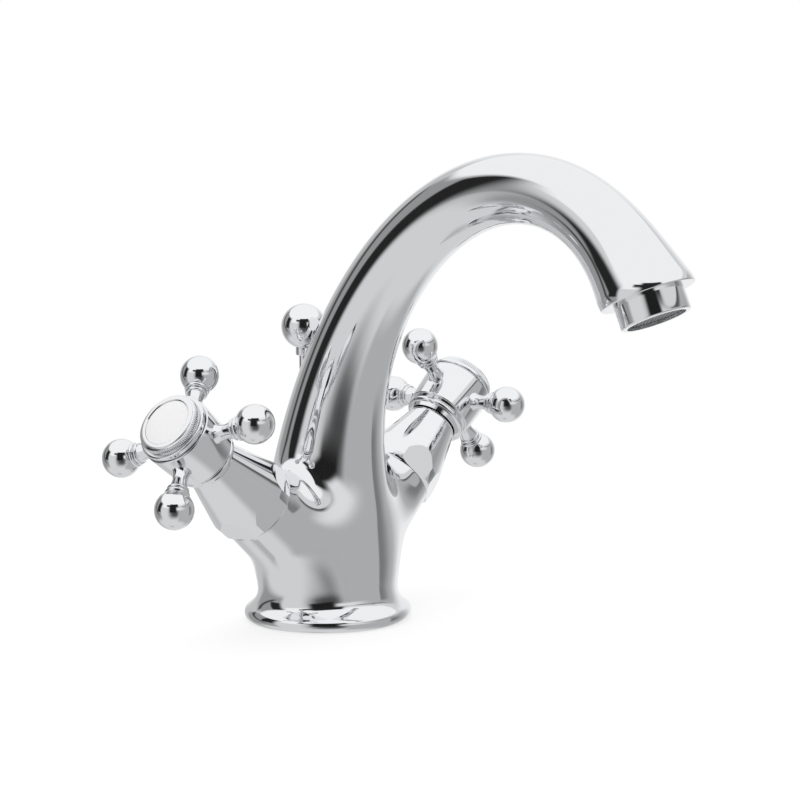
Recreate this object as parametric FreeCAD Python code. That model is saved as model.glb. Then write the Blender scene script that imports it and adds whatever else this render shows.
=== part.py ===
import FreeCAD, Part
import math
import os

# A two-handle basin mixer tap with a swan-neck spout. Lengths are in millimetres and angles in degrees.
# The origin is the centre of the underside, +Z is up, the spout reaches toward -Y and the two
# cross handles stand on -X (hot) and +X (cold). Each valve has its own axis, which leaves the
# middle of the body at valve_height and climbs outward at valve_tilt.

V = FreeCAD.Vector
UP = V(0, 0, 1)
CENTRE = V(0, 0, 0)

# One overrun for every cut, and the clearances between pieces that fit together.
overrun = 2.0
running_clearance = 0.08
seat_clearance = 0.05
turning_gap = 0.5

# Foot and neck of the body casting.
foot_radius = 27.4
lip_radius = 28.5
lip_height = 4.4
neck_radius = 22.9
flare_height = 9.6
flare_rings = 5

# Stem and swan neck: the centre line and the swell of the spout.
stem_height = 26.0
stem_radius = 21.6
stem_lean = 1.0
stem_rings = 3
reach = 131.5
outlet_height = 116.0
outlet_radius = 15.8
outlet_tilt = 23.5
outlet_edge_round = 0.7
outlet_turn_share = 0.75
neck_sections = 14
centre_line_shares = (
    (0.0, 0.0), (0.0, 0.651), (0.192, 1.296), (0.494, 1.625), (0.776, 1.553), (0.898, 1.257), (1.0, 1.0),
)
swell_shares = (1.0, 0.43, 0.532, 0.583, 0.37)

# Valve arms of the casting.
valve_height = 15.2
valve_tilt = 38.44
arm_length = 45.1
arm_rim_radius = 13.15
arm_root_radius = 15.0
arm_blend_radius = 7.0
arm_edge_round = 0.4

# Water ways inside the casting.
waterway_radius = 6.5
waterway_offset = 5.5
waterway_foot_height = 30.0
waterway_centring_share = 0.4
inlet_spacing = 18.0
inlet_setback = 2.5
inlet_thread_radius = 5.0
inlet_thread_depth = 12.0
inlet_channel_radius = 4.0
cross_channel_radius = 3.0
cross_channel_height = 36.0

# Fixing under the deck.
stud_setback = 14.0
stud_thread_radius = 4.0
stud_thread_depth = 12.0
gasket_inner_radius = 21.5
gasket_outer_radius = 25.5
gasket_thickness = 2.0

# Pop-up waste rod, its knob and its guide bush.
rod_offset = 9.5
rod_radius = 1.75
rod_foot_height = 2.0
rod_hole_radius = 2.5
bush_bore_radius = 4.2
bush_top_height = 54.0
bush_length = 10.0
knob_radius = 7.7
knob_rest_gap = 0.62
neck_probes = 240
height_halvings = 40
knob_neck_radius = 2.9
knob_neck_length = 2.2
knob_socket_depth = 6.0

# Headwork, the screwed-in quarter-turn valve of each arm.
headwork_depth = 21.0
headwork_bore_radius = 8.9
headwork_barrel_radius = 8.6
headwork_thread_radius = 10.3
headwork_thread_length = 9.0
headwork_hex_across = 21.0
headwork_hex_height = 3.5
washer_thickness = 0.8
washer_outer_radius = 12.2
headwork_neck_radius = 8.0
headwork_neck_length = 16.6
headwork_nose_radius = 6.0
headwork_nose_length = 7.0
disc_chamber_radius = 7.1
window_width = 7.0
window_height = 3.4
seat_seal_height = 1.6
seat_seal_inner_radius = 4.4
disc_thickness = 3.0
disc_radius = 6.7
disc_hole_radius = 2.0
disc_hole_offset = 3.7
drive_width = 3.0
drive_depth = 1.5
spindle_flange_height = 2.5
spindle_flange_radius = 6.5
spindle_radius = 4.0
spline_depth = 0.4
spline_count = 18
spline_length = 9.0
oring_section = 1.6
oring_rise = 20.0

# Bonnet, the spanner-flatted cover over each headwork.
bonnet_length = 26.7
bonnet_radius = 14.3
bonnet_band_height = 5.7
bonnet_top_radius = 8.9
bonnet_edge_round = 1.2
bonnet_inner_radius = 12.4
bonnet_inner_height = 5.0
bonnet_flats_across = 26.2
bonnet_hole_radius = 6.3
bonnet_collar_radius = 7.4
bonnet_collar_height = 1.6
hot_flat_turn = 40.0
cold_flat_turn = 33.0

# Cross handle: hub, arms, screw, cap ring and index disc.
hot_handle_turn = 20.0
cold_handle_turn = 0.0
hub_foot_to_cross = 12.5
hub_foot_radius = 9.4
hub_skirt_radius = 9.9
hub_skirt_height = 1.4
hub_bead_radius = 11.0
hub_bead_height = 2.2
hub_groove_radius = 10.3
hub_groove_height = 0.7
hub_shoulder_radius = 11.55
hub_top_radius = 12.2
hub_top_above_cross = 6.6
hub_edge = 0.5
hub_counterbore_radius = 8.0
hub_counterbore_depth = 2.2
hub_bore_radius = 4.6
hub_web_thickness = 3.0
hub_web_above_cross = 2.7
hub_cavity_radius = 8.8
screw_radius = 2.0
screw_length = 11.5
screw_head_radius = 3.6
screw_head_height = 2.8
screw_key_across = 2.5
screw_key_depth = 1.6
cap_step_radius = 10.8
cap_step_height = 0.6
cap_ring_radius = 11.9
cap_ring_height = 1.7
cap_groove_height = 0.3
cap_reed_radius = 10.7
cap_reed_depth = 0.25
cap_reed_height = 2.0
cap_reed_count = 60
cap_rim_radius = 9.9
cap_rim_height = 0.6
cap_spigot_length = 2.6
cap_spigot_wall = 1.5
cap_recess_radius = 8.2
cap_recess_depth = 1.9
index_disc_thickness = 1.6
index_disc_crown = 0.3

# Each arm of the cross: a flared root, a waist, two beads and a ball.
cross_arms = 4
ball_radius = 6.4
ball_foot_radius = 3.75
arm_spigot_radius = 2.0
arm_spigot_reach = 9.3
root_flare_radius = 4.4
root_flare_distance = 10.6
waist_radius = 2.4
waist_distance = 15.6
neck_of_arm_length = 2.45
first_bead_radius = 3.66
first_bead_width = 1.2
bead_groove_radius = 3.0
bead_groove_width = 0.3
second_bead_radius = 4.07
second_bead_width = 1.3

# Aerator in the outlet.
aerator_radius = 11.2
aerator_length = 7.6
aerator_edge_round = 0.6
aerator_thread_radius = 10.95
aerator_socket_depth = 8.0
aerator_bore_radius = 9.9
aerator_lip_radius = 9.4
aerator_lip_height = 1.0
aerator_screen_thickness = 0.8
aerator_seal_thickness = 1.6
aerator_seal_inner_radius = 8.4
aerator_jet_radius = 1.2
aerator_jet_ring_radius = 6.4
aerator_jets = 12

# Places that follow from the sizes above, measured up from the deck.
neck_height = lip_height + flare_height
stem_top_height = neck_height + stem_height
outlet_rise = outlet_height - stem_top_height

# Stations along a valve axis, measured from the middle of the body.
seat_at = arm_length - headwork_depth
fixed_disc_at = seat_at + seat_seal_height
moving_disc_at = fixed_disc_at + disc_thickness
spindle_at = moving_disc_at + disc_thickness
headwork_hex_at = arm_length + washer_thickness
headwork_neck_at = headwork_hex_at + headwork_hex_height
headwork_nose_at = headwork_neck_at + headwork_neck_length
headwork_top_at = headwork_nose_at + headwork_nose_length
bonnet_shoulder_at = arm_length + bonnet_length
hub_foot_at = bonnet_shoulder_at + turning_gap
cross_at = hub_foot_at + hub_foot_to_cross
hub_top_at = cross_at + hub_top_above_cross
hub_web_top_at = cross_at + hub_web_above_cross
hub_web_foot_at = hub_web_top_at - hub_web_thickness
spindle_top_at = hub_web_foot_at - turning_gap
spline_at = spindle_top_at - spline_length
spindle_flange_top_at = spindle_at + spindle_flange_height
oring_at = spindle_flange_top_at + oring_rise
cap_ring_at = hub_top_at + cap_step_height
cap_reed_at = cap_ring_at + cap_ring_height + cap_groove_height
cap_rim_at = cap_reed_at + cap_reed_height
cap_top_at = cap_rim_at + cap_rim_height
index_disc_at = cap_top_at - cap_recess_depth

SIDES = (
    ("hot", -1, hot_handle_turn, hot_flat_turn),
    ("cold", 1, cold_handle_turn, cold_flat_turn),
)

nodes = {}


def turned(outline):
    """A solid turned about Z from an outline of radius and height.

    An entry of two numbers is a corner, and an entry of four is an arc through its
    first pair to its second.
    """
    edges = []
    here = V(outline[0][0], 0, outline[0][1])
    for entry in outline[1:] + outline[:1]:
        end = V(entry[-2], 0, entry[-1])
        if len(entry) == 4:
            middle = V(entry[0], 0, entry[1])
            edges.append(Part.Arc(here, middle, end).toShape())
        else:
            edges.append(Part.makeLine(here, end))
        here = end
    return Part.Face(Part.Wire(edges)).revolve(CENTRE, UP, 360)


def rod(radius, low, high, x=0, y=0):
    """An upright cylinder from one height to another."""
    return Part.makeCylinder(radius, high - low, V(x, y, low))


def tube(outer, inner, low, high):
    """An upright ring between two radii and two heights."""
    return turned([(inner, low), (outer, low), (outer, high), (inner, high)])


def prism(points, low, high):
    """A straight upright solid on a closed outline of plane points."""
    corners = [V(x, y, low) for x, y in points]
    wire = Part.makePolygon(corners + corners[:1])
    return Part.Face(wire).extrude(V(0, 0, high - low))


def hexagon(across, low, high, turn=0):
    """A hexagonal bar of a given size across its flats, its first flat facing turn degrees."""
    corner = across / 2 / math.cos(math.pi / 6)
    points = []
    for step in range(6):
        angle = math.radians(turn + 30 + 60 * step)
        points.append((corner * math.cos(angle), corner * math.sin(angle)))
    return prism(points, low, high)


def toothed(outer, inner, count, low, high):
    """A bar with straight vee teeth between two radii all round."""
    points = []
    for step in range(2 * count):
        radius = inner if step % 2 else outer
        angle = math.pi * step / count
        points.append((radius * math.cos(angle), radius * math.sin(angle)))
    return prism(points, low, high)


def edges_between(shape, first_kind, second_kind):
    """The edges of a shape where a face of one surface kind meets one of another."""
    found = []
    for edge in shape.Edges:
        kinds = [face.Surface.TypeId for face in shape.ancestorsOfType(edge, Part.Face)]
        if sorted(kinds) == sorted([first_kind, second_kind]):
            found.append(edge)
    return found


def valve_direction(side):
    """The unit vector along a valve axis, outward and up."""
    tilt = math.radians(valve_tilt)
    return V(side * math.cos(tilt), 0, math.sin(tilt))


def on_valve_axis(shape, side, turn=0):
    """A shape built along Z, turned about it and stood on one side's valve axis."""
    along = valve_direction(side)
    across = V(0, 1, 0)
    stand = FreeCAD.Placement(
        V(0, 0, valve_height), FreeCAD.Rotation(across, along.cross(across), along, "ZXY")
    )
    spin = FreeCAD.Placement(CENTRE, FreeCAD.Rotation(UP, turn))
    placed = shape.copy()
    placed.Placement = stand.multiply(spin)
    return placed


def outlet_direction():
    """The unit vector along which the water leaves."""
    tilt = math.radians(outlet_tilt)
    return V(0, -math.sin(tilt), -math.cos(tilt))


def at_outlet(shape):
    """A shape built along Z, stood on the outlet with +Z along the water."""
    placed = shape.copy()
    placed.Placement = FreeCAD.Placement(
        V(0, -reach, outlet_height), FreeCAD.Rotation(V(1, 0, 0), CENTRE, outlet_direction(), "ZXY")
    )
    return placed


def bezier(controls, share):
    """The value of a Bezier curve of any degree at a share of its run."""
    degree = len(controls) - 1
    total = 0
    for index, control in enumerate(controls):
        weight = math.comb(degree, index) * share ** index * (1 - share) ** (degree - index)
        total += weight * control
    return total


def slope(controls, share):
    """The rate of change of a Bezier curve at a share of its run."""
    steps = [after - before for before, after in zip(controls, controls[1:])]
    return bezier(steps, share)


def eased(share):
    """A share from 0 to 1 that starts and ends gently."""
    held = min(max(share, 0), 1)
    return held * held * (3 - 2 * held)


CENTRE_LINE_Y = [-stem_lean - across * (reach - stem_lean) for across, _ in centre_line_shares]
CENTRE_LINE_Z = [stem_top_height + up * outlet_rise for _, up in centre_line_shares]
SWELL = [share * stem_radius for share in swell_shares] + [outlet_radius]


def ring(centre, normal, radius):
    """A circle as a wire for a loft to pass through, with its seam at the back."""
    back = normal.cross(V(1, 0, 0))
    turn = FreeCAD.Rotation(back, normal.cross(back), normal, "ZXY")
    circle = Part.makeCircle(radius)
    circle.Placement = FreeCAD.Placement(centre, turn)
    return Part.Wire([circle])


def neck_station(share):
    """The centre and the section normal of the swan neck at a share of its run."""
    centre = V(0, bezier(CENTRE_LINE_Y, share), bezier(CENTRE_LINE_Z, share))
    climb = math.atan2(slope(CENTRE_LINE_Z, share), -slope(CENTRE_LINE_Y, share))
    end_climb = math.atan2(slope(CENTRE_LINE_Z, 1), -slope(CENTRE_LINE_Y, 1))
    mouth_climb = math.radians(outlet_tilt - 90)
    turn = eased((share - outlet_turn_share) / (1 - outlet_turn_share))
    climb += (mouth_climb - end_climb) * turn
    return centre, V(0, -math.cos(climb), math.sin(climb))


def gap_to_neck(y, z):
    """How far a point of the middle plane stands off the skin of the swan neck."""
    gaps = []
    for step in range(neck_probes + 1):
        share = step / neck_probes
        centre, _ = neck_station(share)
        gaps.append(math.hypot(y - centre.y, z - centre.z) - bezier(SWELL, share))
    return min(gaps)


def knob_rest_height():
    """The height at which the ball of the knob rests its own small gap behind the neck."""
    low = stem_top_height
    high = stem_top_height + reach
    for _ in range(height_halvings):
        middle = (low + high) / 2
        if gap_to_neck(rod_offset, middle) < knob_radius + knob_rest_gap:
            low = middle
        else:
            high = middle
    return high


knob_height = knob_rest_height()


def column_and_neck():
    """The flared foot, the stem and the swan neck as one loft through circles."""
    rings = []
    for step in range(flare_rings):
        share = step / flare_rings
        radius = neck_radius + (foot_radius - neck_radius) * (1 - share) ** 3
        rings.append(ring(V(0, 0, lip_height + share * flare_height), UP, radius))
    for step in range(stem_rings):
        share = step / stem_rings
        radius = neck_radius + (stem_radius - neck_radius) * share ** 2
        rings.append(ring(V(0, -stem_lean * share, neck_height + share * stem_height), UP, radius))
    for step in range(neck_sections + 1):
        share = step / neck_sections
        centre, normal = neck_station(share)
        rings.append(ring(centre, normal, bezier(SWELL, share)))
    column = Part.makeLoft(rings, True, False)
    mouth = V(0, -reach, outlet_height)
    rim = [edge for edge in column.Edges if edge.CenterOfMass.distanceToPoint(mouth) < outlet_radius / 2]
    return column.makeFillet(outlet_edge_round, rim)


def valve_arm():
    """The tapered arm of the casting with its rounded rim, built along Z."""
    taper = math.atan((arm_root_radius - arm_rim_radius) / arm_length)
    round_at = arm_length - arm_edge_round
    corner = arm_edge_round * (1 - math.sqrt(0.5))
    return turned([
        (0, 0), (arm_root_radius, 0), (arm_rim_radius + arm_edge_round * math.tan(taper), round_at),
        (arm_rim_radius - corner, arm_length - corner, arm_rim_radius - arm_edge_round, arm_length),
        (0, arm_length),
    ])


def waterway():
    """The mixed-water channel, which keeps clear of the rod and then follows the neck."""
    rings = [ring(V(0, -stem_lean - waterway_offset, waterway_foot_height), UP, waterway_radius)]
    for step in range(neck_sections):
        share = step / neck_sections
        centre, normal = neck_station(share)
        offset = waterway_offset * (1 - eased(share / waterway_centring_share))
        rings.append(ring(centre - V(0, offset, 0), normal, waterway_radius))
    mouth = V(0, -reach, outlet_height) - outlet_direction() * (aerator_socket_depth / 2)
    rings.append(ring(mouth, outlet_direction() * -1, waterway_radius))
    return Part.makeLoft(rings, True, False)


def valve_chamber(side):
    """What is bored out of one arm: thread, barrel, seat hole and the way in from below."""
    inlet_x = inlet_spacing / 2
    along = valve_direction(side)
    bend = V(side * inlet_x, -inlet_setback, valve_height + inlet_x * math.tan(math.radians(valve_tilt)))
    seat = V(0, 0, valve_height) + along * (seat_at + overrun)
    climb = seat - bend
    pieces = [
        rod(headwork_thread_radius, arm_length - headwork_thread_length, arm_length + overrun),
        rod(headwork_bore_radius, seat_at, arm_length),
    ]
    cuts = [on_valve_axis(piece, side) for piece in pieces]
    cuts.append(Part.makeCylinder(inlet_channel_radius, climb.Length, bend, climb))
    cuts.append(Part.makeSphere(inlet_channel_radius, bend))
    cuts.append(rod(inlet_channel_radius, 0, bend.z, side * inlet_x, -inlet_setback))
    cuts.append(rod(inlet_thread_radius, -overrun, inlet_thread_depth, side * inlet_x, -inlet_setback))
    return cuts


def body_casting():
    """The one brass casting: foot, stem, swan neck and the two valve arms, bored for water."""
    lip = turned([
        (0, 0), (foot_radius, 0), (lip_radius, lip_height / 2, foot_radius, lip_height), (0, lip_height),
    ])
    body = lip.fuse(column_and_neck())
    body = body.fuse([on_valve_axis(valve_arm(), side) for _, side, _, _ in SIDES]).removeSplitter()
    roots = edges_between(body, "Part::GeomCone", "Part::GeomBSplineSurface")
    body = body.makeFillet(arm_blend_radius, roots)
    cuts = [waterway()]
    for _, side, _, _ in SIDES:
        cuts.extend(valve_chamber(side))
    seat_reach = valve_direction(1).x * seat_at + cross_channel_radius / 2
    cuts.append(Part.makeCylinder(
        cross_channel_radius, 2 * seat_reach,
        V(-seat_reach, -stem_lean - waterway_offset, cross_channel_height), V(1, 0, 0),
    ))
    cuts.append(at_outlet(rod(aerator_thread_radius + seat_clearance, -aerator_socket_depth, overrun)))
    cuts.append(rod(stud_thread_radius, -overrun, stud_thread_depth, 0, -stud_setback))
    cuts.append(rod(bush_bore_radius, -overrun, bush_top_height, 0, rod_offset))
    cuts.append(rod(rod_hole_radius, bush_top_height, knob_height, 0, rod_offset))
    cuts.append(tube(gasket_outer_radius, gasket_inner_radius, -overrun, gasket_thickness))
    return body.cut(cuts)


def base_gasket():
    """The flat rubber ring in the groove of the underside."""
    return tube(gasket_outer_radius, gasket_inner_radius, 0, gasket_thickness)


def rod_bush():
    """The nylon bush that guides the lift rod, pushed up to the shoulder of its bore."""
    bore = rod_radius + running_clearance
    bush = tube(bush_bore_radius, bore, bush_top_height - bush_length, bush_top_height)
    bush.translate(V(0, rod_offset, 0))
    return bush


def lift_rod():
    """The straight rod of the pop-up waste, from its foot to inside the knob."""
    top = knob_height - knob_radius + knob_socket_depth
    return rod(rod_radius, rod_foot_height, top, 0, rod_offset)


def lift_knob():
    """The ball knob, turned with a short neck and bored for the rod."""
    neck_foot = knob_height - knob_radius - knob_neck_length
    neck_top = knob_height - math.sqrt(knob_radius ** 2 - knob_neck_radius ** 2)
    knob = turned([
        (0, neck_foot), (knob_neck_radius, neck_foot), (knob_neck_radius, neck_top),
        (knob_radius, knob_height, 0, knob_height + knob_radius),
    ])
    socket_top = knob_height - knob_radius + knob_socket_depth
    knob = knob.cut(rod(rod_radius, neck_foot - overrun, socket_top))
    knob.translate(V(0, rod_offset, 0))
    return knob


def aerator_housing():
    """The screwed-in ring at the outlet: thread above, plain sleeve and thin lip below."""
    top = aerator_seal_thickness - aerator_socket_depth
    lip_at = aerator_length - aerator_lip_height
    round_at = aerator_length - aerator_edge_round
    return turned([
        (aerator_bore_radius, top), (aerator_thread_radius, top), (aerator_thread_radius, 0),
        (aerator_radius, 0), (aerator_radius, round_at),
        (aerator_radius - aerator_edge_round, aerator_length),
        (aerator_lip_radius, aerator_length), (aerator_lip_radius, lip_at), (aerator_bore_radius, lip_at),
    ])


def aerator_insert():
    """The moulded cartridge that breaks the water into jets."""
    top = aerator_seal_thickness - aerator_socket_depth
    foot = aerator_length - aerator_lip_height - aerator_screen_thickness
    insert = rod(aerator_bore_radius - seat_clearance, top, foot)
    jets = []
    for step in range(aerator_jets):
        angle = 2 * math.pi * step / aerator_jets
        x = aerator_jet_ring_radius * math.cos(angle)
        y = aerator_jet_ring_radius * math.sin(angle)
        jets.append(rod(aerator_jet_radius, top - overrun, foot + overrun, x, y))
    return insert.cut(jets)


def aerator_screen():
    """The flat mesh at the foot of the cartridge, as a thin disc."""
    foot = aerator_length - aerator_lip_height
    return rod(aerator_bore_radius - seat_clearance, foot - aerator_screen_thickness, foot)


def aerator_seal():
    """The rubber washer between the housing and the end of the socket."""
    top = -aerator_socket_depth
    return tube(aerator_thread_radius, aerator_seal_inner_radius, top, top + aerator_seal_thickness)


def headwork_body():
    """The brass headwork: windowed barrel, thread, hexagon, neck and nose, bored for the spindle."""
    thread_at = arm_length - headwork_thread_length
    thread_radius = headwork_thread_radius - seat_clearance
    body = turned([
        (0, fixed_disc_at), (headwork_barrel_radius, fixed_disc_at), (headwork_barrel_radius, thread_at),
        (thread_radius, thread_at), (thread_radius, headwork_hex_at), (headwork_neck_radius, headwork_hex_at),
        (headwork_neck_radius, headwork_nose_at), (headwork_nose_radius, headwork_nose_at),
        (headwork_nose_radius, headwork_top_at), (0, headwork_top_at),
    ])
    body = body.fuse(hexagon(headwork_hex_across, headwork_hex_at, headwork_neck_at))
    chamber_top = spindle_flange_top_at + turning_gap
    window = Part.makeBox(
        2 * headwork_bore_radius, window_width, window_height,
        V(-headwork_bore_radius, -window_width / 2, moving_disc_at),
    )
    bore = rod(spindle_radius + running_clearance, chamber_top, headwork_top_at + overrun)
    chamber = rod(disc_chamber_radius, fixed_disc_at - overrun, chamber_top)
    return body.cut([chamber, bore, window])


def headwork_washer():
    """The fibre washer between the arm and the hexagon of the headwork."""
    return tube(washer_outer_radius, headwork_thread_radius, arm_length, headwork_hex_at)


def seat_seal():
    """The rubber ring that seals the fixed disc to the bottom of the arm."""
    return tube(headwork_barrel_radius, seat_seal_inner_radius, seat_at, fixed_disc_at)


def port_pair(low, high):
    """The two round ports that pass through each ceramic disc."""
    return [rod(disc_hole_radius, low, high, 0, way * disc_hole_offset) for way in (-1, 1)]


def fixed_disc():
    """The lower ceramic disc, held still in the barrel."""
    disc = rod(disc_chamber_radius - seat_clearance, fixed_disc_at, moving_disc_at)
    return disc.cut(port_pair(fixed_disc_at - overrun, moving_disc_at + overrun))


def drive_tongue():
    """The straight key by which the spindle turns the moving disc."""
    return Part.makeBox(
        2 * disc_radius, drive_width, drive_depth, V(-disc_radius, -drive_width / 2, spindle_at - drive_depth)
    ).common(rod(disc_radius, moving_disc_at, spindle_at))


def moving_disc():
    """The upper ceramic disc, keyed to the spindle and closed against the lower one at rest."""
    disc = rod(disc_radius, moving_disc_at, spindle_at).cut(drive_tongue())
    ports = port_pair(moving_disc_at - overrun, spindle_at + overrun)
    for port in ports:
        port.rotate(CENTRE, UP, 90)
    return disc.cut(ports)


def spindle():
    """The brass spindle: key, flange, ring groove, splined head and the hole for the handle screw."""
    spline_root = spindle_radius - spline_depth
    body = turned([
        (0, spindle_at), (spindle_flange_radius, spindle_at), (spindle_flange_radius, spindle_flange_top_at),
        (spindle_radius, spindle_flange_top_at), (spindle_radius, spline_at), (spline_root, spline_at),
        (spline_root, spindle_top_at), (0, spindle_top_at),
    ])
    body = body.fuse(toothed(spindle_radius, spline_root, spline_count, spline_at, spindle_top_at))
    ports = port_pair(spindle_at - drive_depth - overrun, spindle_flange_top_at)
    for port in ports:
        port.rotate(CENTRE, UP, 90)
    tongue = drive_tongue().cut(ports)
    groove = tube(
        spindle_radius + overrun, spindle_radius - oring_section, oring_at, oring_at + oring_section
    )
    return body.fuse(tongue).cut([groove, rod(screw_radius, hub_web_top_at - screw_length, hub_top_at)])


def spindle_oring():
    """The rubber ring in the groove of the spindle."""
    centre_radius = spindle_radius - oring_section / 2
    return Part.makeTorus(centre_radius, oring_section / 2, V(0, 0, oring_at + oring_section / 2))


def bonnet(flat_turn):
    """The cover over the headwork: a cone on a band, cut by six spanner flats, hollow inside."""
    band_top = arm_length + bonnet_band_height
    cone_fall = (bonnet_radius - bonnet_top_radius) / (bonnet_length - bonnet_band_height)
    inner_foot = arm_length + bonnet_inner_height
    inner_top = headwork_nose_at
    inner_top_radius = headwork_neck_radius + seat_clearance
    thread_at = inner_foot + (bonnet_inner_radius - inner_top_radius) / cone_fall / 2
    collar_top = bonnet_shoulder_at + bonnet_collar_height
    shell = turned([
        (0, arm_length), (bonnet_radius - bonnet_edge_round, arm_length),
        (bonnet_radius, arm_length + bonnet_edge_round), (bonnet_radius, band_top),
        (bonnet_top_radius, bonnet_shoulder_at), (bonnet_collar_radius, bonnet_shoulder_at),
        (bonnet_collar_radius, collar_top), (0, collar_top),
    ])
    shell = shell.common(hexagon(bonnet_flats_across, arm_length, collar_top, flat_turn))
    hollow = turned([
        (0, arm_length), (bonnet_inner_radius, arm_length), (bonnet_inner_radius, inner_foot),
        (inner_top_radius, thread_at), (inner_top_radius, inner_top), (bonnet_hole_radius, inner_top),
        (bonnet_hole_radius, collar_top), (0, collar_top),
    ])
    return shell.cut(hollow)


def hub_outline():
    """The turned outside of the handle hub, from its foot to its top."""
    skirt_top = hub_foot_at + hub_skirt_height
    bead_top = skirt_top + hub_bead_height
    bead_middle = (skirt_top + bead_top) / 2
    shoulder = bead_top + hub_groove_height
    return [
        (0, hub_foot_at), (hub_foot_radius, hub_foot_at), (hub_skirt_radius, skirt_top),
        (hub_bead_radius, bead_middle, hub_groove_radius, bead_top), (hub_groove_radius, shoulder),
        (hub_shoulder_radius - hub_edge, shoulder), (hub_shoulder_radius, shoulder + hub_edge),
        (hub_top_radius, hub_top_at - hub_edge), (hub_top_radius - hub_edge, hub_top_at), (0, hub_top_at),
    ]


def around_cross(shape):
    """The copies of one radial shape at each arm of the cross."""
    copies = []
    for step in range(cross_arms):
        copy = shape.copy()
        copy.rotate(CENTRE, UP, 360 * step / cross_arms)
        copies.append(copy)
    return copies


def laid_out(shape):
    """A shape built along Z, laid along +X from the centre of the cross."""
    placed = shape.copy()
    placed.Placement = FreeCAD.Placement(V(0, 0, cross_at), FreeCAD.Rotation(UP, V(1, 0, 0)))
    return placed


def handle_hub():
    """The hub: a turned cup, bored for the collar, splined on the spindle, drilled for its arms."""
    hub = turned(hub_outline())
    counterbore_top = hub_foot_at + hub_counterbore_depth
    spline_root = spindle_radius - spline_depth + seat_clearance
    spline_tip = spindle_radius + seat_clearance
    cuts = [
        rod(hub_counterbore_radius, hub_foot_at - overrun, counterbore_top),
        rod(hub_bore_radius, counterbore_top, spline_at),
        toothed(spline_tip, spline_root, spline_count, spline_at, hub_web_foot_at),
        rod(screw_radius + seat_clearance, hub_web_foot_at, hub_web_top_at),
        rod(hub_cavity_radius, hub_web_top_at, hub_top_at + overrun),
    ]
    sockets = laid_out(rod(arm_spigot_radius, arm_spigot_reach, hub_top_radius + overrun))
    return hub.cut(cuts + around_cross(sockets))


def handle_arms():
    """The four turned arms, each with a spigot in the hub and a root shaped to sit on it."""
    first_start = waist_distance + neck_of_arm_length
    first_end = first_start + first_bead_width
    second_start = first_end + bead_groove_width
    second_end = second_start + second_bead_width
    ball_at = second_end + math.sqrt(ball_radius ** 2 - ball_foot_radius ** 2)
    flare_middle = (2 * waist_radius + root_flare_radius) / 3
    flare_middle_distance = (waist_distance + root_flare_distance) / 2
    outline = [
        (0, root_flare_distance), (root_flare_radius, root_flare_distance),
        (flare_middle, flare_middle_distance, waist_radius, waist_distance),
        (bead_groove_radius, first_start),
        (first_bead_radius, (first_start + first_end) / 2, bead_groove_radius, first_end),
        (bead_groove_radius, second_start),
        (second_bead_radius, (second_start + second_end) / 2, ball_foot_radius, second_end),
        (ball_radius, ball_at, 0, ball_at + ball_radius),
    ]
    arm = laid_out(turned(outline)).cut(turned(hub_outline()))
    spigot = laid_out(rod(arm_spigot_radius, arm_spigot_reach, waist_distance))
    return Part.makeCompound(around_cross(arm.fuse(spigot)))


def handle_screw():
    """The screw that holds the hub on the spindle, with a hexagonal key hole."""
    head_top = hub_web_top_at + screw_head_height
    screw = turned([
        (0, hub_web_top_at - screw_length), (screw_radius, hub_web_top_at - screw_length),
        (screw_radius, hub_web_top_at), (screw_head_radius, hub_web_top_at),
        (screw_head_radius, head_top), (0, head_top),
    ])
    return screw.cut(hexagon(screw_key_across, head_top - screw_key_depth, head_top + overrun))


def cap_ring():
    """The ring on top of the hub: spigot, smooth ring, reeded ring, front rim and disc recess."""
    spigot_foot = hub_top_at - cap_spigot_length
    spigot_radius = hub_cavity_radius - seat_clearance
    ring_top = cap_ring_at + cap_ring_height
    floor = hub_top_at + cap_step_height
    reed_core = cap_reed_radius - cap_reed_depth
    cap = turned([
        (0, floor), (spigot_radius - cap_spigot_wall, floor), (spigot_radius - cap_spigot_wall, spigot_foot),
        (spigot_radius, spigot_foot), (spigot_radius, hub_top_at), (cap_step_radius, hub_top_at),
        (cap_step_radius, cap_ring_at), (cap_ring_radius, cap_ring_at), (cap_ring_radius, ring_top),
        (cap_rim_radius, ring_top), (reed_core, cap_reed_at), (reed_core, cap_rim_at),
        (cap_rim_radius, cap_top_at), (cap_recess_radius, cap_top_at), (cap_recess_radius, index_disc_at),
        (0, index_disc_at),
    ])
    reeds = toothed(cap_reed_radius, reed_core, cap_reed_count, cap_reed_at, cap_rim_at)
    reeds = reeds.cut(rod(cap_recess_radius, cap_reed_at - overrun, cap_rim_at + overrun))
    return cap.fuse(reeds)


def index_disc():
    """The glossy white disc in the recess of the cap ring, slightly crowned and left plain."""
    radius = cap_recess_radius - seat_clearance
    edge_at = index_disc_at + index_disc_thickness
    crown_at = edge_at + index_disc_crown
    crown_radius = (radius ** 2 + index_disc_crown ** 2) / (2 * index_disc_crown)
    middle_at = crown_at - crown_radius + math.sqrt(crown_radius ** 2 - radius ** 2 / 4)
    return turned([
        (0, index_disc_at), (radius, index_disc_at), (radius, edge_at),
        (radius / 2, middle_at, 0, crown_at),
    ])


nodes["body_casting"] = body_casting()
nodes["base_gasket"] = base_gasket()
nodes["rod_bush"] = rod_bush()
nodes["lift_rod"] = lift_rod()
nodes["lift_knob"] = lift_knob()
nodes["aerator_housing"] = at_outlet(aerator_housing())
nodes["aerator_insert"] = at_outlet(aerator_insert())
nodes["aerator_screen"] = at_outlet(aerator_screen())
nodes["aerator_seal"] = at_outlet(aerator_seal())

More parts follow.
